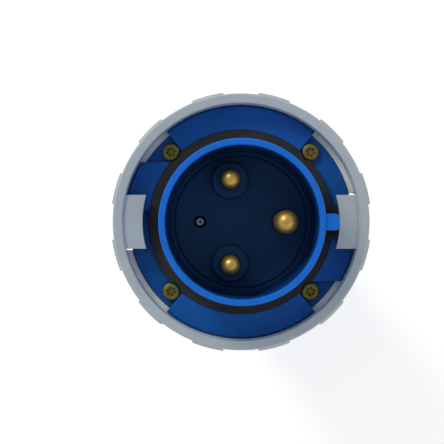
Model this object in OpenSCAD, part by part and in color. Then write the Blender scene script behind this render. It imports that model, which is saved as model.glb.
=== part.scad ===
// Industrial pin and sleeve plug, two poles and earth, watertight.
// It stands on the gland nut with its contacts up: +Z runs along the plug towards the
// contacts, the origin is the centre of the gland nut's end face, and the key and the
// earth pin are on the +X side.

/* [Contacts] */
// Diameter of the line and neutral pins
line_pin_d = 8; // [7.5:0.5:8.5]
// Diameter of the earth pin
earth_pin_d = 10; // [9.5:0.5:10.5]
// Radius of the circle that the pins stand on
pin_circle_r = 19.1; // [18.2:0.1:19.4]
// Angle between the earth pin and each other pin
pin_angle = 104.5; // [100:0.5:115]
// How far a line pin's tip lies below the shroud's rim
line_tip_below_rim = 8; // [6:0.5:12]
// How far the earth pin's tip lies below the shroud's rim
earth_tip_below_rim = 4.5; // [3:0.5:6]

/* [Sleeve] */
// Outer diameter of the shroud round the pins
shroud_d = 71.2; // [70:0.2:71.4]
// Wall of the shroud
shroud_wall = 2.8; // [2.4:0.1:3]
// Length of the shroud in front of the flange
shroud_len = 52; // [46:1:56]
// Width of the key on the shroud
key_w = 7.1; // [6.5:0.1:7.5]
// How far the key stands out of the shroud
key_h = 5.7; // [4.8:0.1:5.9]
// Radius of the flange between its raised blocks
flange_r = 50.1; // [49.8:0.1:50.1]

/* [Locking ring] */
// Radius of the ring between its grip pads
ring_r = 56.8; // [56.4:0.1:57.5]
// Length of the ring along the plug
ring_len = 35; // [33:1:37]
// Height of the grip pads
pad_h = 0.9; // [0.6:0.1:1.4]
// Number of grip pads
pad_count = 12; // [8:2:16]
// Width of each bayonet tab
tab_w = 23.8; // [22:0.2:24]

/* [Housing] */
// Length of the rear housing between its collar and its gland spigot
body_len = 108; // [98:2:120]
// Radius of the housing behind its collar
body_r = 42; // [41.6:0.1:43]
// Number of grip ribs on the housing
rib_count = 16; // [8:2:20]

/* [Gland] */
// Radius of the gland nut over its grips
nut_r = 32.5; // [32:0.1:34]
// Length of the gland nut
nut_len = 46; // [44:1:48]
// Diameter of the cable that the gland seal takes
cable_d = 26; // [22:1:28]

/* [Hidden] */
$fn = 128;

// Colours
BLUE = "#1a63bd";
NAVY = "#12305e";
GREY = "#98a4ab";
DARK_GREY = "#4a5055";
RUBBER = "#24282b";
BRASS = "#b8924a";
YELLOW_ZINC = "#8c7836";
STEEL = "#a9adb0";
NYLON = "#d9d8d0";

// Running fit between pieces that only slip into each other
slip = 0.1;
// Overlap that fuses two forms of one moulding
bite = 0.5;

// Heights along the plug, from the gland nut's end face upwards
spigot_z = 16;
body_z = nut_len + 4;
collar_top_z = body_z + body_len + 18;
collar_len = 18;
flange_back_z = collar_top_z;
flange_t = 8;
pocket_z = flange_back_z + flange_t;
block_h = 3;
block_z = pocket_z + block_h;
rim_z = pocket_z + shroud_len;

// Shroud and flange
shroud_r = shroud_d / 2;
shroud_bore_r = shroud_r - shroud_wall;
rim_chamfer = 0.4;
floor_z = flange_back_z + 4;
lip_t = 5;
lip_r = 31.9;
skirt_r = 39.6;
skirt_bore_r = 34.3;
skirt_end_z = flange_back_z - 16;
key_corner_r = 1.9;
key_top_drop = 0.8;
block_r = 52.1;
block_lip_z = pocket_z;
block_chamfer = 0.6;
// The long blocks above and below the shroud
long_block_from = 50.5;
long_block_sweep = 79;
// The short blocks beside the tabs, between two heights off the axis
short_block_near = 5.2;
short_block_far = 26.6;

// Face gasket
gasket_r = 41.2;
gasket_seat_z = pocket_z - 1;
gasket_t = 4.4;
gasket_nose_w = 14.6;
gasket_nose_x = 46.5;

// Screws that join the sleeve to the rear housing
screw_circle_r = 44.1;
screw_head_r = 3.8;
screw_head_h = 3;
screw_head_dome = 0.5;
screw_shank_r = 2;
screw_len = 20;
screw_drive_r = 2.2;
screw_drive_depth = 1.4;
insert_r = 2.95;
insert_len = 13;

// Pin carrier
carrier_front_z = floor_z + 1;
carrier_flange_r = skirt_bore_r - 0.2;
carrier_flange_t = 10;
carrier_split_z = flange_back_z - 1 - carrier_flange_t;
carrier_disc_r = 29.7;
carrier_step = 0.8;
carrier_edge = 0.4;
collar_boss_r = 8;
collar_boss_z = carrier_front_z + 7;
back_disc_t = carrier_split_z - skirt_end_z;
back_rim_r = 39.8;
back_rim_t = 4;
back_rim_z = skirt_end_z - back_rim_t;
access_r = 2.8;
access_depth = 2;
carrier_screw_inset = 0.8;
carrier_screw_r = 1.2;
carrier_screw_head_r = 2.1;
carrier_screw_head_h = 2;
carrier_screw_dome = 0.4;
carrier_screw_drive_r = 0.9;
carrier_screw_drive_depth = 1;

// Pins and terminals
pin_seal_r = 1;
pin_neck = 0.3;
pin_neck_above = 0.5;
pin_shoulder_t = 6;
pin_shoulder_over = 3.5;
barrel_over = 2.6;
barrel_len = 30;
wire_bore_r = 4.2;
wire_bore_len = 20;
terminal_screw_r = 3;
terminal_screw_len = 6;
terminal_screw_back = 0.2;
terminal_screw_steps = [5, 14];
slot_w = 1;
slot_depth = 1.4;

// Locking ring
ring_front_z = pocket_z + 15;
ring_back_z = ring_front_z - ring_len;
ring_bore_r = 52.4;
ring_skirt_bore_r = 53.2;
ring_chamfer = 0.6;
ring_taper_len = 6;
ring_back_r = ring_r - 1.8;
ledge_r = flange_r + slip;
ledge_t = 4;
ledge_top_z = block_lip_z - 0.6;
pad_sweep = 14.3;
pad_inset = 1.5;
tab_bore_r = 43.6;
tab_t = 4.5;
tab_sunk = 1.5;
tab_top_z = ring_front_z - tab_sunk;
tab_under_z = tab_top_z - tab_t;
tab_root_slope = 1;
window_side = 0.9;
window_under = 0.3;
window_r = 54;
stop_half_sweep = 5.3;
stop_bore_r = 48.3;

// Rear housing
collar_r = 48.4;
collar_slope = 5;
housing_bore_r = 40;
housing_wall = 3.8;
body_end_r = 31.5;
taper_from_z = body_z + 8;
taper_to_z = body_z + 82;
cavity_floor_z = body_z + 14;
taper_steps = 14;
rib_h = 1.1;
rib_sweep = 5;
rib_from_z = taper_from_z + 6;
rib_to_z = collar_top_z - collar_len - 12;
spigot_r = 26;
spigot_root_r = 25.2;
spigot_bore_r = 21.5;
spigot_neck_r = 18.5;
seal_seat_z = 40;
thread_slip = 0.15;

// Housing seal, an O-ring in the sleeve's skirt
o_ring_r = 1.35;
o_ring_centre_r = housing_bore_r - o_ring_r;
o_ring_z = flange_back_z - 7.3;
o_ring_groove_w = 3.4;
o_ring_groove_r = o_ring_centre_r - o_ring_r;

// Cable clamp
clamp_z = cavity_floor_z;
clamp_t = 11;
clamp_r = 26.9;
clamp_gap = 1.2;
clamp_hole_r = cable_d / 2 + 0.2;
clamp_screw_x = 19.6;
clamp_screw_r = 2;
clamp_head_r = 3.6;
clamp_head_h = 2.4;
clamp_head_dome = 0.5;
clamp_drive_r = 1.6;
clamp_drive_depth = 1.4;
clamp_seat_y = 13;
clamp_nut_af = 7;
clamp_nut_t = 3.2;

// Gland
cable_r = cable_d / 2;
nut_hole_r = 18;
nut_wall = 6;
nut_chamfer = 2.5;
nut_front_r = 30.5;
nut_front_taper = 7;
flute_count = 12;
flute_r = 5.5;
flute_centre_r = nut_r + 3.6;
washer_t = 4;
washer_r = 24.5;
washer_hole_r = 17;
seal_z = nut_wall + washer_t;
seal_lead = 3;
seal_r = spigot_bore_r - slip;

// ---------------------------------------------------------------- helpers

// A ring with a square section
module ring(outer_r, inner_r, height) {
    difference() {
        cylinder(h = height, r = outer_r);
        translate([0, 0, -1]) cylinder(h = height + 2, r = inner_r);
    }
}

// A profile of [radius, height] points turned through part of a circle
module swept(points, from = 0, sweep = 360) {
    rotate([0, 0, from]) rotate_extrude(angle = sweep) polygon(points);
}

// The line, neutral and earth pins: [angle, diameter, tip height, height of the face they leave]
PIN_LINE = [pin_angle, line_pin_d, rim_z - line_tip_below_rim, collar_boss_z];
PIN_NEUTRAL = [-pin_angle, line_pin_d, rim_z - line_tip_below_rim, collar_boss_z];
PIN_EARTH = [0, earth_pin_d, rim_z - earth_tip_below_rim, carrier_front_z];
PINS = [PIN_EARTH, PIN_LINE, PIN_NEUTRAL];

module at_pin(pin) {
    rotate([0, 0, pin[0]]) translate([pin_circle_r, 0, 0]) children();
}

module at_housing_screws() {
    for (a = [45:90:315]) rotate([0, 0, a]) translate([screw_circle_r, 0, 0]) children();
}

// The fixing screw stands opposite the earth pin, on the pins' circle
module at_carrier_screw() {
    translate([carrier_screw_inset - pin_circle_r, 0, 0]) children();
}

function neck_r(pin) = pin[1] / 2 - pin_neck;
function shoulder_r(pin) = pin[1] / 2 + pin_shoulder_over;
function barrel_r(pin) = pin[1] / 2 + barrel_over;

// ---------------------------------------------------------------- sleeve

// Plan of the gasket: a disc with a nose that reaches round the key
module gasket_plan(grow = 0) {
    circle(r = gasket_r + grow);
    translate([0, -gasket_nose_w / 2 - grow]) square([gasket_nose_x + grow, gasket_nose_w + 2 * grow]);
}

// Points of an arc about a centre, from one angle to another
function arc(centre, r, from, to, steps = 8) =
    [for (i = [0:steps]) centre + r * [cos(from + (to - from) * i / steps), sin(from + (to - from) * i / steps)]];

// Plan of the key, with its two outer corners rounded
module key_plan(grow = 0) {
    root_x = shroud_r - bite;
    corner = [shroud_r + key_h - key_corner_r, key_w / 2 - key_corner_r];
    polygon(concat(
        [[root_x, -key_w / 2 - grow]],
        arc([corner[0], -corner[1]], key_corner_r + grow, -90, 0),
        arc(corner, key_corner_r + grow, 0, 90),
        [[root_x, key_w / 2 + grow]]
    ));
}

// Section of a raised block, with the lip that the locking ring snaps behind
block_section = [
    [gasket_r - bite, pocket_z - bite], [flange_r - bite, pocket_z - bite],
    [flange_r - bite, block_lip_z], [block_r, block_lip_z],
    [block_r, block_z - block_chamfer], [block_r - block_chamfer, block_z],
    [gasket_r - bite, block_z]
];

module long_blocks() {
    for (a = [0, 180]) swept(block_section, from = long_block_from + a, sweep = long_block_sweep);
}

module short_blocks() {
    for (a = [0, 180]) rotate([0, 0, a]) intersection() {
        swept(block_section);
        translate([-block_r - 1, short_block_near, flange_back_z])
            cube([block_r - gasket_r / 2, short_block_far - short_block_near, 2 * flange_t]);
    }
}

// Flange, skirt with its O-ring groove, and the lip that the pin carrier stands against
module flange_and_skirt() {
    swept([
        [lip_r, floor_z - lip_t], [lip_r, floor_z], [shroud_bore_r + 1, floor_z],
        [shroud_bore_r + 1, pocket_z], [flange_r, pocket_z], [flange_r, flange_back_z],
        [skirt_r, flange_back_z], [skirt_r, o_ring_z + o_ring_groove_w / 2],
        [o_ring_groove_r, o_ring_z + o_ring_groove_w / 2],
        [o_ring_groove_r, o_ring_z - o_ring_groove_w / 2],
        [skirt_r, o_ring_z - o_ring_groove_w / 2],
        [skirt_r, skirt_end_z + 1], [skirt_r - 1, skirt_end_z],
        [skirt_bore_r, skirt_end_z], [skirt_bore_r, floor_z - lip_t]
    ]);
}

module shroud() {
    swept([
        [shroud_bore_r, floor_z - bite], [shroud_bore_r, rim_z - rim_chamfer],
        [shroud_bore_r + rim_chamfer, rim_z], [shroud_r - rim_chamfer, rim_z],
        [shroud_r, rim_z - rim_chamfer], [shroud_r, floor_z - bite]
    ]);
}

module front_sleeve() {
    color(BLUE) {
        difference() {
            union() {
                flange_and_skirt();
                long_blocks();
                short_blocks();
            }
            translate([0, 0, gasket_seat_z])
                linear_extrude(block_z - gasket_seat_z + 1) gasket_plan(slip);
            at_housing_screws() translate([0, 0, flange_back_z - 1])
                cylinder(h = flange_t + 2, r = screw_shank_r + 0.25);
        }
        shroud();
        translate([0, 0, gasket_seat_z - bite])
            linear_extrude(rim_z - key_top_drop - gasket_seat_z + bite) key_plan();
    }
}

module face_gasket() {
    color(RUBBER) translate([0, 0, gasket_seat_z]) difference() {
        linear_extrude(gasket_t) gasket_plan();
        translate([0, 0, -1]) {
            cylinder(h = gasket_t + 2, r = shroud_r + slip);
            linear_extrude(gasket_t + 2) key_plan(slip);
        }
        at_housing_screws() translate([0, 0, -1])
            cylinder(h = gasket_t + 2, r = screw_head_r + 0.3);
    }
}

// ---------------------------------------------------------------- screws

// Plan of a six-lobe drive recess, by its radius over the lobes
module six_lobes(r) {
    lobe_r = 0.24 * r;
    circle(r = r - lobe_r, $fn = 48);
    for (a = [0:60:300]) rotate([0, 0, a]) translate([r - lobe_r, 0]) circle(r = lobe_r, $fn = 32);
}

// Screw with a domed head, its drive recess up; its head sits on z = 0
module screw(head_r, head_h, dome, shank_r, length, recess_r, recess_depth) {
    difference() {
        swept([
            [0, -length], [shank_r - 0.4, -length], [shank_r, 0.4 - length], [shank_r, 0],
            [head_r, 0], [head_r, head_h - dome], [head_r - dome, head_h - dome * 0.25],
            [head_r - 2.2 * dome, head_h], [0, head_h]
        ]);
        translate([0, 0, head_h - recess_depth]) linear_extrude(recess_depth + 1) six_lobes(recess_r);
    }
}

module housing_screws() {
    color(YELLOW_ZINC) at_housing_screws() translate([0, 0, pocket_z])
        screw(screw_head_r, screw_head_h, screw_head_dome, screw_shank_r, screw_len,
              screw_drive_r, screw_drive_depth);
}

module housing_inserts() {
    color(BRASS) at_housing_screws() translate([0, 0, flange_back_z - insert_len])
        ring(insert_r, screw_shank_r + 0.05, insert_len);
}

// ---------------------------------------------------------------- pin carrier

module pin_carrier() {
    color(NAVY) difference() {
        union() {
            swept([
                [0, carrier_split_z], [carrier_flange_r, carrier_split_z],
                [carrier_flange_r, floor_z - lip_t], [lip_r - slip, floor_z - lip_t],
                [lip_r - slip, carrier_front_z - carrier_step],
                [carrier_disc_r, carrier_front_z - carrier_step],
                [carrier_disc_r, carrier_front_z - carrier_edge],
                [carrier_disc_r - carrier_edge, carrier_front_z], [0, carrier_front_z]
            ]);
            for (pin = [PIN_LINE, PIN_NEUTRAL]) at_pin(pin)
                translate([0, 0, carrier_front_z - bite])
                    cylinder(h = collar_boss_z - carrier_front_z + bite, r = collar_boss_r);
        }
        for (pin = PINS) at_pin(pin) {
            translate([0, 0, carrier_split_z - 1])
                cylinder(h = collar_boss_z - carrier_split_z + 2, r = pin[1] / 2 + 0.05);
            translate([0, 0, carrier_split_z - 1])
                cylinder(h = pin_shoulder_t + 1, r = shoulder_r(pin) + slip);
            translate([0, 0, carrier_split_z])
                cylinder(h = pin_shoulder_t + 2 * pin_seal_r, r = neck_r(pin) + 2 * pin_seal_r);
        }
        at_carrier_screw() {
            translate([0, 0, carrier_front_z - access_depth - carrier_screw_head_h])
                cylinder(h = access_depth + carrier_screw_head_h + 1, r = access_r);
            translate([0, 0, carrier_split_z - 1])
                cylinder(h = carrier_front_z - carrier_split_z, r = carrier_screw_r + slip);
        }
    }
}

module carrier_back() {
    color(DARK_GREY) difference() {
        swept([
            [0, back_rim_z], [back_rim_r, back_rim_z], [back_rim_r, skirt_end_z],
            [carrier_flange_r, skirt_end_z], [carrier_flange_r, carrier_split_z],
            [0, carrier_split_z]
        ]);
        for (pin = PINS) at_pin(pin) translate([0, 0, back_rim_z - 1])
            cylinder(h = back_rim_t + back_disc_t + 2, r = barrel_r(pin) + slip);
        at_carrier_screw() translate([0, 0, back_rim_z - 1])
            cylinder(h = back_rim_t + back_disc_t + 2, r = carrier_screw_r + 0.05);
    }
}

module carrier_screw() {
    head_seat_z = carrier_front_z - access_depth - carrier_screw_head_h;
    color(STEEL) at_carrier_screw() translate([0, 0, head_seat_z])
        screw(carrier_screw_head_r, carrier_screw_head_h, carrier_screw_dome, carrier_screw_r,
              head_seat_z - back_rim_z, carrier_screw_drive_r, carrier_screw_drive_depth);
}

// ---------------------------------------------------------------- contacts

// A turned contact: domed pin on a neck, shoulder trapped in the carrier, and terminal barrel
module contact_pin(pin) {
    pin_r = pin[1] / 2;
    neck_end_z = pin[3] + pin_neck_above;
    barrel_end_z = carrier_split_z - barrel_len;
    color(BRASS) at_pin(pin) difference() {
        union() {
            translate([0, 0, carrier_split_z])
                cylinder(h = neck_end_z - carrier_split_z + bite, r = neck_r(pin));
            translate([0, 0, neck_end_z]) cylinder(h = pin[2] - pin_r - neck_end_z, r = pin_r);
            translate([0, 0, pin[2] - pin_r]) sphere(r = pin_r);
            translate([0, 0, carrier_split_z]) cylinder(h = pin_shoulder_t, r = shoulder_r(pin));
            translate([0, 0, barrel_end_z]) cylinder(h = barrel_len + bite, r = barrel_r(pin));
        }
        translate([0, 0, barrel_end_z - 1]) cylinder(h = wire_bore_len + 1, r = wire_bore_r);
        for (step = terminal_screw_steps) translate([0, 0, barrel_end_z + step])
            rotate([0, 90, 0]) cylinder(h = 2 * barrel_r(pin), r = terminal_screw_r + 0.05);
    }
}

module earth_pin() { contact_pin(PIN_EARTH); }
module line_pin() { contact_pin(PIN_LINE); }
module neutral_pin() { contact_pin(PIN_NEUTRAL); }

// One O-ring round each pin, in front of its shoulder
module pin_seals() {
    color(RUBBER) for (pin = PINS) at_pin(pin)
        translate([0, 0, carrier_split_z + pin_shoulder_t + pin_seal_r])
            rotate_extrude() translate([neck_r(pin) + pin_seal_r, 0]) circle(r = pin_seal_r, $fn = 32);
}

// Slotted grub screws that clamp the wires, two to a terminal
module terminal_screws() {
    barrel_end_z = carrier_split_z - barrel_len;
    color(STEEL) for (pin = PINS, step = terminal_screw_steps) at_pin(pin)
        translate([wire_bore_r + terminal_screw_back, 0, barrel_end_z + step])
            rotate([0, 90, 0]) difference() {
                cylinder(h = terminal_screw_len, r = terminal_screw_r);
                translate([-slot_w / 2, -terminal_screw_r - 1, terminal_screw_len - slot_depth])
                    cube([slot_w, 2 * terminal_screw_r + 2, slot_depth + 1]);
            }
}

// ---------------------------------------------------------------- locking ring

module ring_turned() {
    swept([
        [ring_bore_r, ledge_top_z], [ring_bore_r, ring_front_z - ring_chamfer / 2],
        [ring_bore_r + ring_chamfer / 2, ring_front_z],
        [ring_r - ring_chamfer, ring_front_z], [ring_r, ring_front_z - ring_chamfer],
        [ring_r, ring_back_z + ring_taper_len], [ring_back_r, ring_back_z],
        [ring_skirt_bore_r, ring_back_z], [ring_skirt_bore_r, ledge_top_z - ledge_t - 1],
        [ledge_r, ledge_top_z - ledge_t], [ledge_r, ledge_top_z]
    ]);
}

// Raised pads that give the hand a grip, one every pad_step degrees
module grip_pads() {
    pad_step = 360 / pad_count;
    pad_top = ring_front_z - pad_inset;
    pad_bottom = ring_back_z + ring_taper_len + 1;
    for (i = [0:pad_count - 1]) swept([
        [ring_r - bite, pad_bottom], [ring_r, pad_bottom],
        [ring_r + pad_h, pad_bottom + pad_h], [ring_r + pad_h, pad_top - pad_h],
        [ring_r, pad_top], [ring_r - bite, pad_top]
    ], from = (i + 0.5) * pad_step - pad_sweep / 2, sweep = pad_sweep);
}

// The two tabs that ride behind the ramps of the mating socket
module bayonet_tabs() {
    intersection() {
        swept([
            [tab_bore_r, tab_under_z], [ring_bore_r + bite, tab_under_z],
            [ring_bore_r + bite, ring_front_z - ring_chamfer], [ring_bore_r, ring_front_z - ring_chamfer],
            [ring_bore_r - tab_root_slope, tab_top_z], [tab_bore_r, tab_top_z]
        ]);
        translate([-ring_r, -tab_w / 2, tab_under_z - 1]) cube([2 * ring_r, tab_w, tab_t + 4]);
    }
}

// Openings behind the tabs, from the ring's back up to the tabs. Each is wider than its tab on
// one side, and ends under the tab on the other.
module tab_windows() {
    from_y = window_under - tab_w / 2;
    to_y = tab_w / 2 + window_side;
    for (a = [0, 180]) rotate([0, 0, a]) intersection() {
        translate([0, 0, ring_back_z - 1]) ring(window_r, tab_bore_r, tab_under_z - ring_back_z + 1);
        translate([0, from_y, ring_back_z - 2]) cube([ring_r, to_y - from_y, ring_len]);
    }
}

// Ribs under the tabs: they run on the flange between two blocks and stop the turn
module stop_ribs() {
    for (a = [0, 180]) swept([
        [stop_bore_r, pocket_z + 0.4], [window_r + bite, pocket_z + 0.4],
        [window_r + bite, tab_under_z + bite], [stop_bore_r, tab_under_z + bite]
    ], from = a - stop_half_sweep, sweep = 2 * stop_half_sweep);
}

module locking_ring() {
    color(GREY) union() {
        difference() {
            union() {
                ring_turned();
                grip_pads();
            }
            tab_windows();
        }
        bayonet_tabs();
        stop_ribs();
    }
}

// ---------------------------------------------------------------- rear housing

// The spigot is turned down to the root of its thread; the nut's bore clears the crest, spigot_r.

// Outer radius of the housing at height z, easing from the gland end to the body
function ease(t) = (1 - cos(180 * min(1, max(0, t)))) / 2;
function housing_r(z) =
    body_end_r + (body_r - body_end_r) * ease((z - taper_from_z) / (taper_to_z - taper_from_z));
function taper_points(from_z, to_z, offset_r) =
    [for (i = [0:taper_steps]) let (z = from_z + (to_z - from_z) * i / taper_steps)
        [housing_r(z) + offset_r, z]];
function reversed(points) = [for (i = [len(points) - 1:-1:0]) points[i]];

module housing_turned() {
    collar_z = collar_top_z - collar_len;
    swept(concat(
        [[spigot_neck_r, seal_seat_z], [spigot_bore_r, seal_seat_z], [spigot_bore_r, spigot_z],
         [spigot_root_r - 1, spigot_z], [spigot_root_r, spigot_z + 1], [spigot_root_r, body_z],
         [body_end_r - 1, body_z], [body_end_r, body_z + 1]],
        taper_points(taper_from_z, taper_to_z, 0),
        [[body_r, collar_z - collar_slope], [collar_r, collar_z], [collar_r, collar_top_z],
         [housing_bore_r, collar_top_z], [housing_bore_r, back_rim_z],
         [body_r - housing_wall, back_rim_z]],
        reversed(taper_points(cavity_floor_z, taper_to_z, -housing_wall)),
        [[spigot_neck_r, cavity_floor_z]]
    ));
}

// Grip ribs along the body, which fade into it at both ends
module grip_ribs() {
    rib_profile = concat(
        taper_points(rib_from_z, rib_to_z, -bite),
        [[housing_r(rib_to_z) - bite, rib_to_z + 3]],
        [[housing_r(rib_to_z), rib_to_z + 3]],
        reversed(taper_points(rib_from_z, rib_to_z, rib_h)),
        [[housing_r(rib_from_z - 3), rib_from_z - 3], [housing_r(rib_from_z - 3) - bite, rib_from_z - 3]]
    );
    for (i = [0:rib_count - 1])
        swept(rib_profile, from = i * 360 / rib_count - rib_sweep / 2, sweep = rib_sweep);
}

module rear_housing() {
    color(BLUE) difference() {
        union() {
            housing_turned();
            grip_ribs();
        }
        at_housing_screws() translate([0, 0, flange_back_z - insert_len])
            cylinder(h = insert_len + 1, r = insert_r);
        at_housing_screws() translate([0, 0, pocket_z - screw_len - 1])
            cylinder(h = screw_len, r = screw_shank_r + 0.1);
    }
}

module housing_seal() {
    color(RUBBER) translate([0, 0, o_ring_z])
        rotate_extrude() translate([o_ring_centre_r, 0]) circle(r = o_ring_r, $fn = 48);
}

// ---------------------------------------------------------------- cable clamp

// Half of the clamp round the cable, on the +Y side, with lugs for its two screws
module clamp_half() {
    translate([0, 0, clamp_z]) difference() {
        intersection() {
            ring(clamp_r, clamp_hole_r, clamp_t);
            translate([-clamp_r, clamp_gap / 2, -1]) cube([2 * clamp_r, clamp_r, clamp_t + 2]);
        }
        for (side = [-1, 1]) {
            translate([side * clamp_screw_x, 0, clamp_t / 2])
                rotate([-90, 0, 0]) cylinder(h = clamp_r, r = clamp_screw_r + 0.1);
            translate([side * (clamp_screw_x + 5) - 10, clamp_seat_y, -1])
                cube([20, clamp_r, clamp_t + 2]);
        }
    }
}

module clamp_saddle() { color(GREY) clamp_half(); }
module clamp_base() { color(GREY) rotate([0, 0, 180]) clamp_half(); }

module clamp_screws() {
    color(STEEL) for (side = [-1, 1])
        translate([side * clamp_screw_x, clamp_seat_y, clamp_z + clamp_t / 2])
            rotate([-90, 0, 0]) screw(clamp_head_r, clamp_head_h, clamp_head_dome, clamp_screw_r,
                2 * clamp_seat_y + clamp_nut_t, clamp_drive_r, clamp_drive_depth);
}

module clamp_nuts() {
    color(STEEL) for (side = [-1, 1])
        translate([side * clamp_screw_x, -clamp_seat_y, clamp_z + clamp_t / 2])
            rotate([90, 30, 0]) difference() {
                cylinder(h = clamp_nut_t, r = clamp_nut_af / 2 / cos(30), $fn = 6);
                translate([0, 0, -1]) cylinder(h = clamp_nut_t + 2, r = clamp_screw_r + 0.02);
            }
}

// ---------------------------------------------------------------- gland

module gland_seal() {
    seal_top_z = seal_seat_z - slip;
    color(RUBBER) swept([
        [cable_r, seal_z + seal_lead], [cable_r + 2, seal_z],
        [seal_r, seal_z], [seal_r, seal_top_z], [cable_r, seal_top_z]
    ]);
}

module thrust_washer() {
    color(NYLON) translate([0, 0, nut_wall]) ring(washer_r, washer_hole_r, washer_t);
}

module nut_turned() {
    swept([
        [nut_hole_r, 1], [nut_hole_r + 1, 0], [nut_r - nut_chamfer, 0], [nut_r, nut_chamfer],
        [nut_r, nut_len - nut_front_taper], [nut_front_r, nut_len - 1], [nut_front_r - 1, nut_len],
        [spigot_r + thread_slip + 1, nut_len], [spigot_r + thread_slip, nut_len - 1],
        [spigot_r + thread_slip, nut_wall], [nut_hole_r, nut_wall]
    ]);
}

module gland_nut() {
    color(GREY) difference() {
        nut_turned();
        for (i = [0:flute_count - 1]) rotate([0, 0, i * 360 / flute_count])
            translate([flute_centre_r, 0, nut_chamfer + 2])
                cylinder(h = nut_len, r = flute_r, $fn = 64);
    }
}

// ---------------------------------------------------------------- the plug

front_sleeve();
pin_carrier();
carrier_back();
carrier_screw();
earth_pin();
line_pin();
neutral_pin();
pin_seals();
terminal_screws();
face_gasket();
housing_screws();
housing_inserts();
locking_ring();
rear_housing();
housing_seal();
clamp_base();
clamp_saddle();
clamp_screws();
clamp_nuts();
gland_seal();
thrust_washer();
gland_nut();
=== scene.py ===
# %% [markdown]
# # An industrial pin and sleeve plug
# This lesson dresses a finished mechanical model of a watertight plug: a blue shroud with
# three contacts, a grey bayonet ring that turns on it, a tapered housing and a cable gland.
# The mechanical model is a fixed frame. Its pieces are never moved here, so a maker can trust
# every size. What this lesson adds is what the eye needs: slightly round mould edges, the
# gland's thread, the finish of each moulding and each turned contact, a plain studio with its
# lamps, and a camera.

from math import cos, pi, radians, sin

import bpy
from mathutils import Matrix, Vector


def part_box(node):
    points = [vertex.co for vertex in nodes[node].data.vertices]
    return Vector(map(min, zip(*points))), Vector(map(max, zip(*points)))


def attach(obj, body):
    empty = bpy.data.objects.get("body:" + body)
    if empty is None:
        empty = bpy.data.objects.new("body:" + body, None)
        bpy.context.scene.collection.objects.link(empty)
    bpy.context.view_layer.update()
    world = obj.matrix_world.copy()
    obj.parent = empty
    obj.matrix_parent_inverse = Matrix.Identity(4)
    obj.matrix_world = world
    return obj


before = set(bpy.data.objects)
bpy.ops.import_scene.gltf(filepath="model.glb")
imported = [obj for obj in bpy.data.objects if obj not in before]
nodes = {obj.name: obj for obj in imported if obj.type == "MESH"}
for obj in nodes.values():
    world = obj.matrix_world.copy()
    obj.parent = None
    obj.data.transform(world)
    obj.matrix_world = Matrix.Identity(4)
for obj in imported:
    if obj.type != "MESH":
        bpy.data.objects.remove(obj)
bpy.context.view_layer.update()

# %% [markdown]
# ## Where things are
# Heights along the plug come from the pieces themselves, so that the scene follows the frame
# if the plug is drawn longer or shorter. The rim of the shroud is the plane that the camera
# measures its distance from, because it is the nearest part of the plug.

# %% Key heights and one unit
MM = 0.001
rim_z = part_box("front_sleeve")[1].z
ring_front_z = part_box("locking_ring")[1].z
print(f"rim at {rim_z / MM:.1f} mm, front of the ring at {ring_front_z / MM:.1f} mm")

# %% [markdown]
# ## The camera
# A plug is shown best from the front, straight into its contacts, and this one stands on its
# gland nut, so the camera hangs above it and looks straight down. A long lens from 850 mm away
# flattens the view, as in a catalogue: the deep parts are drawn only a little smaller than the
# rim. The camera stands slightly to the left of the plug's axis, and is hardly turned towards
# it, so a little more shows of the walls on the right.

# %% Camera
camera_distance = 850 * MM
view_width = 187.8 * MM
sensor_width = 36.0
camera_data = bpy.data.cameras.new("camera")
camera_data.sensor_width = sensor_width
camera_data.lens = sensor_width * camera_distance / view_width
camera = bpy.data.objects.new("camera", camera_data)
camera.location = (-11.9 * MM, 1.7 * MM, rim_z + camera_distance)
aim_point = Vector((-8.6 * MM, 0, rim_z))
camera.rotation_euler = Vector((0, 0, -1)).rotation_difference(aim_point - camera.location).to_euler()
bpy.context.scene.collection.objects.link(camera)
bpy.context.scene.camera = camera
print(f"lens {camera_data.lens:.0f} mm")

# %% [markdown]
# ## Small helpers for materials
# Colours are written as the hex values that a paint or plastics sample would be given, which
# are sRGB. Shaders count light, so one function turns them to linear. Another adds one node to
# a material: settings are the node's own choices, and links say what feeds or sets each of its
# sockets. Everything below is built from these.

# %% Colour and node helpers
def linear(hex_colour):
    """An sRGB hex value such as "1a62bc" as a linear RGBA colour."""
    channels = [int(hex_colour[i:i + 2], 16) / 255 for i in (0, 2, 4)]
    return [c / 12.92 if c <= 0.04045 else ((c + 0.055) / 1.055) ** 2.4 for c in channels] + [1.0]


def add(tree, kind, links=None, **settings):
    """Adds a node of one kind; links maps each input to another node's socket or to a value."""
    node = tree.nodes.new(kind)
    for name, value in settings.items():
        setattr(node, name, value)
    for name, value in (links or {}).items():
        if isinstance(value, bpy.types.NodeSocket):
            tree.links.new(value, node.inputs[name])
        else:
            node.inputs[name].default_value = value
    return node


def start_material(name):
    """A material with a cleared node tree and its output node."""
    material = bpy.data.materials.new(name)
    material.use_nodes = True
    material.node_tree.nodes.clear()
    return material, material.node_tree, add(material.node_tree, "ShaderNodeOutputMaterial")


# %% [markdown]
# ## Shade painted in the corners
# Corners are painted darker, as the shade that falls there: at the foot of a boss, in a screw's
# recess, in the groove round a gasket. The Ambient Occlusion node says how open a point is within
# a short distance, 1 on an open face and near 0 in a tight corner, and it does so from the shape
# alone, so the painted shade stays in place from every side. This helper turns that into a factor
# for a colour.

# %% A factor that darkens corners
def corner_shade(tree, reach_mm, darkest, open_from=0.95, closed_at=0.25):
    openness = add(tree, "ShaderNodeAmbientOcclusion", {"Distance": reach_mm * MM}, samples=8)
    shade = add(tree, "ShaderNodeMapRange", {"Value": openness.outputs["AO"], "From Min": closed_at,
                                             "From Max": open_from, "To Min": darkest, "To Max": 1.0})
    return shade.outputs["Result"]
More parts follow.
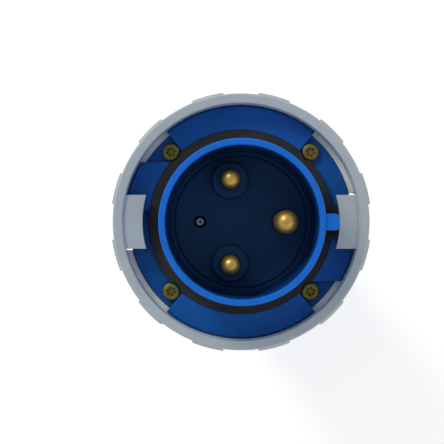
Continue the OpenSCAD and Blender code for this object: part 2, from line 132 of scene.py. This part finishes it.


# %% [markdown]
# ## Zones of painted shade and light
# Some stretches of a moulding are given a colour of their own: darker ones are painted shade, paler
# ones painted light. Each is a zone between two radii round the plug's axis and below one height,
# all in mm. It ends sharply at its radii, and fades in over the first half millimetre below its top.

# %% A colour with zones
zone_fade = 0.5


def zoned_colour(tree, place, colour, painted_zones):
    across = add(tree, "ShaderNodeVectorMath", {0: place, 1: (1, 1, 0)}, operation="MULTIPLY")
    radius = add(tree, "ShaderNodeVectorMath", {0: across.outputs["Vector"]}, operation="LENGTH")
    height = add(tree, "ShaderNodeSeparateXYZ", {"Vector": place})
    for inner, outer, top, hex_colour in painted_zones:
        between = add(tree, "ShaderNodeMath", {0: radius.outputs["Value"], 1: (inner + outer) / 2 * MM,
                                               2: (outer - inner) / 2 * MM}, operation="COMPARE")
        below = add(tree, "ShaderNodeMapRange", {
            "Value": height.outputs["Z"], "From Min": (top - zone_fade) * MM, "From Max": top * MM,
            "To Min": 1.0, "To Max": 0.0})
        here = add(tree, "ShaderNodeMath", {0: between.outputs[0], 1: below.outputs["Result"]},
                   operation="MULTIPLY")
        mix = add(tree, "ShaderNodeMix", {"Factor": here.outputs[0], 7: linear(hex_colour)}, data_type="RGBA")
        if isinstance(colour, bpy.types.NodeSocket):
            tree.links.new(colour, mix.inputs[6])
        else:
            mix.inputs[6].default_value = [*colour, 1.0]
        colour = mix.outputs[2]
    return colour


# %% [markdown]
# ## Moulded plastics and rubber
# The shroud, the housing, the ring and the nut are injection moulded polyamide. The steel mould
# is spark eroded, which leaves a fine even grain on the plastic, so its gloss is broken into a
# soft satin sheen. Polyamide's index of refraction is 1.53. The grain hides part of each
# reflection in its pits, so the specular level is set below its usual 0.5. The colour is nearly
# even, with slight clouds where the melt met, and the edges of a moulding rub paler with use.
# A real grain is about 0.1 mm, too fine to show here, so it is drawn at 0.5 mm.
# The edge is found by asking how far the surface's direction turns within a small radius: the
# Bevel node averages the directions round a point, and on a flat face it changes nothing. Its
# direction also feeds the bump, so that every edge catches the light as a slightly round one.

# %% A function for mouldings
def moulding(name, hex_colour, roughness, ior=1.53, specular=0.25, grain_mm=0.5, grain_depth_mm=0.012,
             cloud=0.05, edge_paler=0.1, edge_mm=0.3, corner_shade_reach_mm=2.0, corner_shade_darkest=0.6,
             sheltered_shade_darkest=1.0, painted_zones=(), parting_line=False):
    material, tree, output = start_material(name)
    place = add(tree, "ShaderNodeTexCoord").outputs["Object"]
    clouds = add(tree, "ShaderNodeTexNoise", {"Vector": place, "Scale": 1 / (14 * MM), "Detail": 3.0})
    grain = add(tree, "ShaderNodeTexNoise", {"Vector": place, "Scale": 1 / (grain_mm * MM), "Detail": 4.0})

    shade = add(tree, "ShaderNodeMapRange", {"Value": clouds.outputs["Fac"], "From Min": 0.3, "From Max": 0.7,
                                             "To Min": 1 - cloud, "To Max": 1 + cloud}).outputs["Result"]
    # Painted shade: corners are drawn darker, and on some mouldings every stretch sheltered within 80 mm as
    # well.
    factors = [corner_shade(tree, corner_shade_reach_mm, corner_shade_darkest)]
    if sheltered_shade_darkest < 1:
        factors.append(corner_shade(tree, 80, sheltered_shade_darkest, open_from=0.9, closed_at=0.2))
    for factor in factors:
        shade = add(tree, "ShaderNodeMath", {0: shade, 1: factor}, operation="MULTIPLY").outputs[0]
    # The zones add painted shade and painted light to stretches of the moulding.
    plain = zoned_colour(tree, place, linear(hex_colour)[:3], painted_zones)
    body = add(tree, "ShaderNodeVectorMath", {0: plain, "Scale": shade}, operation="SCALE")

    rounded = add(tree, "ShaderNodeBevel", {"Radius": edge_mm * MM}, samples=6).outputs["Normal"]
    facing = add(tree, "ShaderNodeNewGeometry").outputs["True Normal"]
    alike = add(tree, "ShaderNodeVectorMath", {0: rounded, 1: facing}, operation="DOT_PRODUCT")
    edge = add(tree, "ShaderNodeMapRange", {
        "Value": alike.outputs["Value"], "From Min": 0.995, "From Max": 0.80,
        "To Min": 0.0, "To Max": edge_paler})
    colour = add(tree, "ShaderNodeMix", {"Factor": edge.outputs["Result"], 6: body.outputs["Vector"],
                                         7: (0.75, 0.80, 0.85, 1.0)}, data_type="RGBA")

    gloss = add(tree, "ShaderNodeMapRange", {"Value": grain.outputs["Fac"], "From Min": 0.3, "From Max": 0.7,
                                             "To Min": roughness - 0.05, "To Max": roughness + 0.05})
    bump = add(tree, "ShaderNodeBump", {"Height": grain.outputs["Fac"], "Strength": 0.6,
                                        "Distance": grain_depth_mm * MM, "Normal": rounded})
    if parting_line:
        sideways = add(tree, "ShaderNodeSeparateXYZ", {"Vector": place})
        off_plane = add(tree, "ShaderNodeMath", {0: sideways.outputs["X"]}, operation="ABSOLUTE")
        ridge = add(tree, "ShaderNodeMapRange", {"Value": off_plane.outputs[0], "From Min": 0.0,
                                                 "From Max": 0.25 * MM, "To Min": 1.0, "To Max": 0.0})
        bump = add(tree, "ShaderNodeBump", {"Height": ridge.outputs["Result"], "Strength": 1.0,
                                            "Distance": 0.15 * MM, "Normal": bump.outputs["Normal"]})
    shader = add(tree, "ShaderNodeBsdfPrincipled", {
        "Base Color": colour.outputs[2], "Roughness": gloss.outputs["Result"], "IOR": ior,
        "Specular IOR Level": specular, "Normal": bump.outputs["Normal"]})
    tree.links.new(shader.outputs["BSDF"], output.inputs["Surface"])
    return material


# %% [markdown]
# ## The plastics of this plug
# The blue tells a 200 to 250 V circuit. Some stretches of the mouldings are painted a shade darker
# or paler, matched to the look of such a plug: painted shade and painted light. The wall inside the
# shroud is drawn deeper and the flange a little duller, as painted shade. The ring's bore and its
# ledge are drawn paler than its front, as painted light, because they lie in the shade and would
# look too dark beside it. The carrier is drawn a darker blue, as painted shade deep inside the
# shroud, and the parts hidden inside are plain technical plastics.

# %% Where the zones of painted shade and light are, in mm
core_radius, core_top = 33.1, rim_z / MM - 0.4
flange_inner, flange_outer, flange_top = 36.5, 52.0, rim_z / MM - 20
bore_inner, bore_outer, bore_top = 52.2, 52.8, ring_front_z / MM - 0.4
ledge_top = ring_front_z / MM - 6.2

# %% Plastics and rubbers
# The shroud's two zones are painted shade: its inner wall deeper, its flange duller.
sleeve_blue = moulding("moulded_polyamide_blue", "0f65c8", 0.42, specular=0.14, edge_paler=0.03,
                       sheltered_shade_darkest=0.75, painted_zones=[
                           (0, core_radius, core_top, "0a4c99"),
                           (flange_inner, flange_outer, flange_top, "1262b5")])
housing_blue = moulding("moulded_polyamide_blue_housing", "0f60bd", 0.45, edge_paler=0.08,
                        parting_line=True)
# The carrier's darker blue is painted shade for the deep inside of the shroud, and its corners get strong
# painted shade.
carrier_blue_painted_shade = moulding("moulded_polyamide_blue_painted_shade", "1c5087", 0.5, specular=0.15, edge_paler=0.0,
                        corner_shade_reach_mm=1.5, corner_shade_darkest=0.25)
back_black = moulding("moulded_glass_filled_polyamide", "2d3033", 0.6, grain_mm=0.8, grain_depth_mm=0.03)
# The ring's two zones are painted light: its bore and ledge paler than its front.
ring_grey = moulding("moulded_polyamide_grey", "a6b1b6", 0.45, corner_shade_darkest=0.95, painted_zones=[
    (0, bore_outer, ledge_top, "eef3e6"), (bore_inner, bore_outer, bore_top, "f2f6ea")])
nut_grey = moulding("moulded_polyamide_grey_nut", "98a3a9", 0.48, corner_shade_darkest=0.7, parting_line=True)
clamp_grey = moulding("moulded_polyamide_clamp_grey", "8a9297", 0.5)
washer_white = moulding("moulded_polyamide_natural", "d8d5c8", 0.45)
gasket_black = moulding("moulded_rubber_gasket", "2a2a2b", 0.7, ior=1.52, specular=0.3, grain_mm=1.2,
                        grain_depth_mm=0.03, cloud=0.2, edge_paler=0.03)
seal_black = moulding("moulded_rubber_seal", "1c1e20", 0.55, ior=1.52, grain_depth_mm=0.01, edge_paler=0.02)
print(f"10 mouldings; the ring's ledge is below {ledge_top:.1f} mm")

# %% [markdown]
# ## Turned brass and plated steel
# The contacts are turned from brass rod. Their shine is dull, as on handled brass: a dull film
# reflects in all directions, so Metallic stays a little under 1 and the roughness is well above
# that of polished metal. The tool leaves a fine spiral, finer than 0.1 mm, so it is drawn here
# at 0.35 mm. The screws are headed steel, plated with zinc and passivated yellow, a film that
# weathers from straw to olive. Every metal is painted darker in its corners and recesses, as
# shade, most of all in the drive of these screws. The small screws are zinc plated, and their
# colour is tinted blue, a painted reflection of the blue mouldings round them. A metal keeps the
# default index of refraction.

# %% A function for metals
tool_mark_depth = 0.004 * MM
plating_depth = 0.01 * MM


def metal(name, hex_colour, hex_stain, roughness, metallic=1.0, turned_mm=None, stain_mm=3.0,
          stain_share=0.5, corner_shade_reach_mm=1.5, corner_shade_darkest=0.5):
    material, tree, output = start_material(name)
    place = add(tree, "ShaderNodeTexCoord").outputs["Object"]
    stain = add(tree, "ShaderNodeTexNoise", {"Vector": place, "Scale": 1 / (stain_mm * MM), "Detail": 5.0})
    share = add(tree, "ShaderNodeMapRange", {"Value": stain.outputs["Fac"], "From Min": 0.4, "From Max": 0.75,
                                             "To Min": 0.0, "To Max": stain_share})
    clean = add(tree, "ShaderNodeMix", {"Factor": share.outputs["Result"], 6: linear(hex_colour),
                                        7: linear(hex_stain)}, data_type="RGBA")
    # Corners and recesses are painted darker, as shade.
    colour = add(tree, "ShaderNodeVectorMath", {
        0: clean.outputs[2], "Scale": corner_shade(tree, corner_shade_reach_mm, corner_shade_darkest)}, operation="SCALE")
    gloss = add(tree, "ShaderNodeMapRange", {"Value": stain.outputs["Fac"], "From Min": 0.3, "From Max": 0.7,
                                             "To Min": roughness - 0.06, "To Max": roughness + 0.08})
    if turned_mm:
        marks = add(tree, "ShaderNodeTexWave", {"Vector": place, "Scale": pi / (10 * turned_mm * MM),
                                                "Distortion": 0.4, "Detail": 1.0}, bands_direction="Z")
        height = marks.outputs["Fac"]
        depth = tool_mark_depth
    else:
        height = add(tree, "ShaderNodeTexNoise", {"Vector": place, "Scale": 1 / (0.4 * MM)}).outputs["Fac"]
        depth = plating_depth
    rounded = add(tree, "ShaderNodeBevel", {"Radius": 0.15 * MM}, samples=6).outputs["Normal"]
    bump = add(tree, "ShaderNodeBump", {"Height": height, "Strength": 0.5, "Distance": depth,
                                        "Normal": rounded})
    shader = add(tree, "ShaderNodeBsdfPrincipled", {
        "Base Color": colour.outputs["Vector"], "Metallic": metallic, "Roughness": gloss.outputs["Result"],
        "Normal": bump.outputs["Normal"]})
    tree.links.new(shader.outputs["BSDF"], output.inputs["Surface"])
    return material


# %% Metals of the plug
# Each metal's corners get painted shade, darkest in the yellow screws' drive.
brass = metal("turned_brass", "c3a456", "9c7a38", 0.42, metallic=0.85, turned_mm=0.35, corner_shade_darkest=0.35)
yellow_zinc = metal("yellow_passivated_zinc", "857d3f", "6a5d36", 0.5, metallic=0.8, corner_shade_darkest=0.15)
# The blue tint is a painted reflection of the blue mouldings round these screws.
zinc_painted_blue_reflection = metal("zinc_with_painted_blue_reflection", "a4b4c6", "8593a2", 0.45, metallic=0.9, corner_shade_darkest=0.3)
print("3 metals")

# %% [markdown]
# ## Which piece is made of what
# Each piece of the frame keeps its shape and gets one finish.

# %% Give every piece its finish
finishes = {
    "front_sleeve": sleeve_blue, "rear_housing": housing_blue, "pin_carrier": carrier_blue_painted_shade,
    "carrier_back": back_black, "locking_ring": ring_grey, "gland_nut": nut_grey,
    "clamp_base": clamp_grey, "clamp_saddle": clamp_grey, "thrust_washer": washer_white,
    "face_gasket": gasket_black, "gland_seal": seal_black, "housing_seal": seal_black,
    "pin_seals": seal_black, "earth_pin": brass, "line_pin": brass, "neutral_pin": brass,
    "housing_inserts": brass, "housing_screws": yellow_zinc, "carrier_screw": zinc_painted_blue_reflection,
    "terminal_screws": zinc_painted_blue_reflection, "clamp_screws": zinc_painted_blue_reflection, "clamp_nuts": zinc_painted_blue_reflection,
}
for name, finish in finishes.items():
    nodes[name].data.materials.clear()
    nodes[name].data.materials.append(finish)
print(f"{len(finishes)} pieces finished, {len(set(nodes) - set(finishes))} left bare")

# %% [markdown]
# ## Slightly round edges
# No moulding has a sharp edge, because the corners of the mould are slightly round. A Bevel
# modifier rounds every edge that turns by more than 35 degrees, by a quarter of a millimetre.
# It needs faces that share their edges, so a Weld modifier comes first, and a Weighted Normal
# modifier last, which keeps the flat faces flat. Modifiers leave the frame's own mesh as it is.

# %% Round the mould edges
edge_radius = 0.25 * MM
rounded_pieces = ["locking_ring", "gland_nut", "pin_carrier", "carrier_back", "clamp_base",
                  "clamp_saddle", "face_gasket", "thrust_washer"]
for name in rounded_pieces:
    weld = nodes[name].modifiers.new("shared_edges", "WELD")
    weld.merge_threshold = 0.001 * MM
    bevel = nodes[name].modifiers.new("round_edges", "BEVEL")
    bevel.width = edge_radius
    bevel.segments = 2
    bevel.limit_method = "ANGLE"
    bevel.angle_limit = radians(35)
    flats = nodes[name].modifiers.new("flat_faces", "WEIGHTED_NORMAL")
    flats.keep_sharp = False
print(f"{len(rounded_pieces)} pieces with round edges")

# %% [markdown]
# ## The gland's thread
# The nut screws onto a spigot below the housing. The frame holds the spigot's core, and the
# thread's ridge is wound here: a helix with a pitch of 3 mm, which is right-handed, so it climbs
# as it turns anticlockwise seen from above. Its section is a trapezium with a flat crest, as on
# a moulded thread, and it grows out of the core over the first half turn and dies back over the
# last one, because a mould cannot end a thread abruptly. It belongs to the housing's body.

# %% Wind the thread
thread_pitch = 3.0 * MM
crest_radius = 26.0 * MM
root_radius = 25.0 * MM
crest_half = 0.45 * MM
root_half = 1.0 * MM
thread_from = 18.5 * MM
thread_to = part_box("rear_housing")[0].z + 32.0 * MM
steps_per_turn = 72


def thread_point(step, radius, offset):
    turns = step / steps_per_turn
    angle = 2 * pi * turns
    return radius * cos(angle), radius * sin(angle), thread_from + thread_pitch * turns + offset


thread_steps = int((thread_to - thread_from) / thread_pitch * steps_per_turn)
points, faces = [], []
for step in range(thread_steps + 1):
    run_out = min(1.0, step / (steps_per_turn / 2), (thread_steps - step) / (steps_per_turn / 2))
    crest = root_radius + (crest_radius - root_radius) * max(run_out, 0.05)
    points += [thread_point(step, root_radius, -root_half), thread_point(step, crest, -crest_half),
               thread_point(step, crest, crest_half), thread_point(step, root_radius, root_half)]
for step in range(thread_steps):
    a, b = 4 * step, 4 * (step + 1)
    faces += [(a + i, b + i, b + (i + 1) % 4, a + (i + 1) % 4) for i in range(4)]
faces += [(3, 2, 1, 0), tuple(4 * thread_steps + i for i in range(4))]
thread_mesh = bpy.data.meshes.new("spigot_thread")
thread_mesh.from_pydata(points, [], faces)
thread_mesh.materials.append(housing_blue)
spigot_thread = bpy.data.objects.new("spigot_thread", thread_mesh)
bpy.context.scene.collection.objects.link(spigot_thread)
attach(spigot_thread, "plug_body")
print(f"thread of {thread_steps / steps_per_turn:.1f} turns up to {thread_to / MM:.1f} mm")

# %% [markdown]
# ## Floor and background
# The plug stands on a plain white floor. A white floor lit at a plain level is drawn light
# grey, so a little light of its own is added where the camera, a mirror or glass looks at it,
# and the plug's shadow still shows. Round it stands a white tent: bright at the sides, and
# dimmer straight above, where the camera looks in through its opening. Flat faces that look up
# then reflect little light into the lens, and keep their full colour.

# %% Floor
floor_material, tree, output = start_material("white_floor")
paper = add(tree, "ShaderNodeBsdfDiffuse", {"Color": linear("f2f2f2")})
glow = add(tree, "ShaderNodeEmission", {"Color": (1, 1, 1, 1), "Strength": 0.35})
seen = add(tree, "ShaderNodeLightPath")
seen_or_mirrored = add(tree, "ShaderNodeMath", {
    0: seen.outputs["Is Camera Ray"], 1: seen.outputs["Is Glossy Ray"]}, operation="MAXIMUM")
seen_any = add(tree, "ShaderNodeMath", {
    0: seen_or_mirrored.outputs[0], 1: seen.outputs["Is Transmission Ray"]}, operation="MAXIMUM")
both = add(tree, "ShaderNodeAddShader", {0: paper.outputs[0], 1: glow.outputs[0]})
floor_mix = add(tree, "ShaderNodeMixShader", {
    0: seen_any.outputs[0], 1: paper.outputs[0], 2: both.outputs[0]})
tree.links.new(floor_mix.outputs[0], output.inputs["Surface"])

floor_half = 3.0
floor_gap = 0.2 * MM
floor_mesh = bpy.data.meshes.new("floor")
floor_mesh.from_pydata([(-floor_half, -floor_half, 0), (floor_half, -floor_half, 0),
                        (floor_half, floor_half, 0), (-floor_half, floor_half, 0)], [], [(0, 1, 2, 3)])
floor_mesh.materials.append(floor_material)
floor = bpy.data.objects.new("floor", floor_mesh)
floor.location.z = -floor_gap
bpy.context.scene.collection.objects.link(floor)

# %% The white tent
# "Generated" is the direction of the ray here, and its Z is the sine of the height above the
# horizon. Mirrors see the white background as well, but only where it is low, as a camera would.
world = bpy.data.worlds.new("studio")
world.use_nodes = True
tree = world.node_tree
tree.nodes.clear()
path = add(tree, "ShaderNodeLightPath")
look = add(tree, "ShaderNodeTexCoord")
height = add(tree, "ShaderNodeSeparateXYZ", {"Vector": look.outputs["Generated"]})
tent = add(tree, "ShaderNodeMapRange", {"Value": height.outputs["Z"], "From Min": 0.50, "From Max": 0.90,
                                        "To Min": 0.80, "To Max": 0.50}, interpolation_type="SMOOTHSTEP")
low = add(tree, "ShaderNodeMapRange", {"Value": height.outputs["Z"], "From Min": 0.10, "From Max": 0.35,
                                       "To Min": 1.0, "To Max": 0.0}, interpolation_type="SMOOTHSTEP")
mirrored = add(tree, "ShaderNodeMath", {0: low.outputs["Result"], 1: path.outputs["Is Glossy Ray"]},
               operation="MULTIPLY")
seen_direct = add(tree, "ShaderNodeMath", {
    0: path.outputs["Is Camera Ray"], 1: path.outputs["Is Transmission Ray"]}, operation="MAXIMUM")
seen_world = add(tree, "ShaderNodeMath", {
    0: seen_direct.outputs[0], 1: mirrored.outputs[0]}, operation="MAXIMUM")
cloth = add(tree, "ShaderNodeBackground", {"Color": (1, 1, 1, 1), "Strength": tent.outputs["Result"]})
white = add(tree, "ShaderNodeBackground", {"Color": (1, 1, 1, 1), "Strength": 1.0})
world_mix = add(tree, "ShaderNodeMixShader", {
    0: seen_world.outputs[0], 1: cloth.outputs[0], 2: white.outputs[0]})
world_output = add(tree, "ShaderNodeOutputWorld", {"Surface": world_mix.outputs[0]})
bpy.context.scene.world = world

# %% [markdown]
# ## Lamps
# Inside the tent two lamps face each other across the plug. The smaller one, at the upper left
# of the picture, is the key light and makes the bright spot on each domed contact. The other is
# more than four times as wide, so it fills the shadows without a bright spot of its own. Each
# lamp is placed by its bearing round the plug and its height above the horizon, in degrees, and
# by its distance in metres. Its size is in metres and its power in watts.

# %% Lamps
def softbox(name, bearing, height, distance, size, power, aim=Vector((0, 0, 0.2))):
    """A square lamp that points at the plug."""
    data = bpy.data.lights.new(name, "AREA")
    data.size = size
    data.energy = power
    away = Vector((cos(radians(bearing)) * cos(radians(height)),
                   sin(radians(bearing)) * cos(radians(height)), sin(radians(height))))
    lamp = bpy.data.objects.new(name, data)
    lamp.location = aim + distance * away
    lamp.rotation_euler = (-away).to_track_quat("-Z", "Y").to_euler()
    bpy.context.scene.collection.objects.link(lamp)
    return lamp


softbox("main_lamp", 128, 38, 1.6, 0.4, 9)
softbox("far_lamp", 315, 38, 2.0, 1.8, 3.5)
bpy.context.scene.view_settings.view_transform = "Standard"
print("2 lamps")
